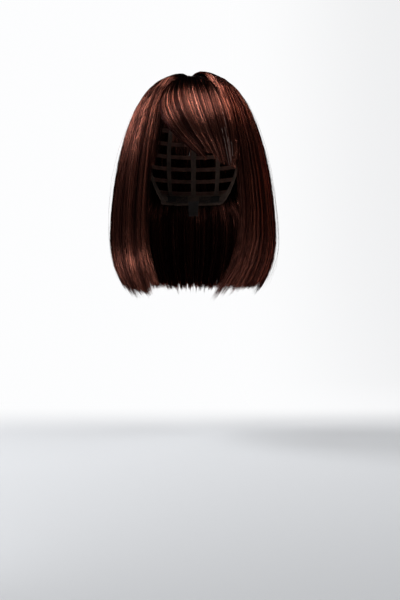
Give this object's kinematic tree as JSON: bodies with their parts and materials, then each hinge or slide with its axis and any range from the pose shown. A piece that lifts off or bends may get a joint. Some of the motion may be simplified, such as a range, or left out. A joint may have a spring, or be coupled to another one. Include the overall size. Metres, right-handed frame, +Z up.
{
  "type": "costume wig",
  "caption": "Chin-length bob wig: layered dark auburn hair with a side-swept fringe on a stretch cap with wefts, ear tabs, nape adjusters and snap combs.",
  "frame": {"origin": "centre of the wearer's head at the level where the cap is widest, just above the ears", "axes": "+Z up out of the crown, -Y the way the wearer faces, +X the wearer's left"},
  "size_m": [0.2494, 0.2284, 0.3282],
  "materials": {
    "hair": "satin",
    "under_hair": "satin",
    "cap_mesh": "matte",
    "elastic_band": "matte",
    "weft_stitching": "matte",
    "skin_film": "matte",
    "hook_and_loop": "matte",
    "satin_label": "satin",
    "clip_steel": "satin",
    "clip_grip": "matte"
  },
  "bodies": {
    "cap": {"crown_cap": "cap_mesh", "parting_skin": "skin_film", "front_panel": "cap_mesh", "forehead_band": "elastic_band", "nape_band": "elastic_band", "side_band_left": "elastic_band", "rib_left_1": "elastic_band", "rib_left_2": "elastic_band", "rib_left_3": "elastic_band", "side_band_right": "elastic_band", "rib_right_1": "elastic_band", "rib_right_2": "elastic_band", "rib_right_3": "elastic_band", "rib_centre": "elastic_band", "weft_1": "weft_stitching", "weft_2": "weft_stitching", "weft_3": "weft_stitching", "weft_4": "weft_stitching", "weft_5": "weft_stitching", "weft_6": "weft_stitching", "weft_7": "weft_stitching", "loop_tape_left": "hook_and_loop", "adjuster_elastic_left": "elastic_band", "loop_tape_right": "hook_and_loop", "adjuster_elastic_right": "elastic_band", "care_label": "satin_label", "comb_base_left": "clip_steel", "comb_grip_left": "clip_grip", "comb_base_right": "clip_steel", "comb_grip_right": "clip_grip", "comb_base_back": "clip_steel", "comb_grip_back": "clip_grip", "crown_hair_left": "hair", "crown_hair_right": "hair"},
    "fringe": {"fringe": "hair"},
    "side_left": {"side_hair_left": "hair", "side_under_hair_left": "under_hair"},
    "side_right": {"side_hair_right": "hair", "side_under_hair_right": "under_hair"},
    "back": {"back_hair": "hair", "back_under_hair": "under_hair"},
    "ear_tab_left": {"ear_tab_left": "elastic_band", "ear_stay_left": "clip_steel"},
    "ear_tab_right": {"ear_tab_right": "elastic_band", "ear_stay_right": "clip_steel"},
    "adjuster_left": {"hook_tape_left": "hook_and_loop"},
    "adjuster_right": {"hook_tape_right": "hook_and_loop"},
    "comb_left": {"comb_teeth_left": "clip_steel"},
    "comb_right": {"comb_teeth_right": "clip_steel"},
    "comb_back": {"comb_teeth_back": "clip_steel"}
  },
  "joints": [
    {"name": "fringe_lift", "type": "hinge", "parent": "cap", "child": "fringe", "pos_m": [0, -0.024, 0.113], "axis": [-1, 0, 0], "range_deg": [0, 30]},
    {"name": "side_left_swing", "type": "hinge", "parent": "cap", "child": "side_left", "pos_m": [0.1078, 0, 0.005], "axis": [0, -1, 0], "range_deg": [0, 22], "stiffness_Nm_per_rad": 0.05, "springref_deg": -11.46},
    {"name": "side_right_swing", "type": "hinge", "parent": "cap", "child": "side_right", "pos_m": [-0.1078, 0, 0.005], "axis": [0, 1, 0], "range_deg": [0, 22], "stiffness_Nm_per_rad": 0.05, "springref_deg": -11.46},
    {"name": "back_lift", "type": "hinge", "parent": "cap", "child": "back", "pos_m": [0, 0.1115, 0.005], "axis": [1, 0, 0], "range_deg": [0, 25], "stiffness_Nm_per_rad": 0.05, "springref_deg": -11.46},
    {"name": "ear_tab_left_flex", "type": "hinge", "parent": "cap", "child": "ear_tab_left", "pos_m": [0.0665, -0.0373, 0.0198], "axis": [0.3432, 0.7262, -0.5957], "range_deg": [-5, 18]},
    {"name": "ear_tab_right_flex", "type": "hinge", "parent": "cap", "child": "ear_tab_right", "pos_m": [-0.0665, -0.0373, 0.0198], "axis": [0.3432, -0.7262, 0.5957], "range_deg": [-5, 18]},
    {"name": "adjuster_left_slide", "type": "hinge", "parent": "cap", "child": "adjuster_left", "pos_m": [-0.0054, 0.0221, -0.062], "axis": [0, 0, 1], "range_deg": [-1.5, 12], "deforming": ["adjuster_elastic_left"]},
    {"name": "adjuster_right_slide", "type": "hinge", "parent": "cap", "child": "adjuster_right", "pos_m": [0.0054, 0.0221, -0.062], "axis": [0, 0, -1], "range_deg": [-1.5, 12], "deforming": ["adjuster_elastic_right"]},
    {"name": "comb_left_open", "type": "hinge", "parent": "cap", "child": "comb_left", "pos_m": [0.0373, -0.0672, 0.0454], "axis": [-0.7333, -0.6799, 0], "range_deg": [0, 35]},
    {"name": "comb_right_open", "type": "hinge", "parent": "cap", "child": "comb_right", "pos_m": [-0.0373, -0.0672, 0.0454], "axis": [-0.7333, 0.6799, 0], "range_deg": [0, 35]},
    {"name": "comb_back_open", "type": "hinge", "parent": "cap", "child": "comb_back", "pos_m": [0, 0.0634, 0.0725], "axis": [1, 0, 0], "range_deg": [0, 35]}
  ]
}
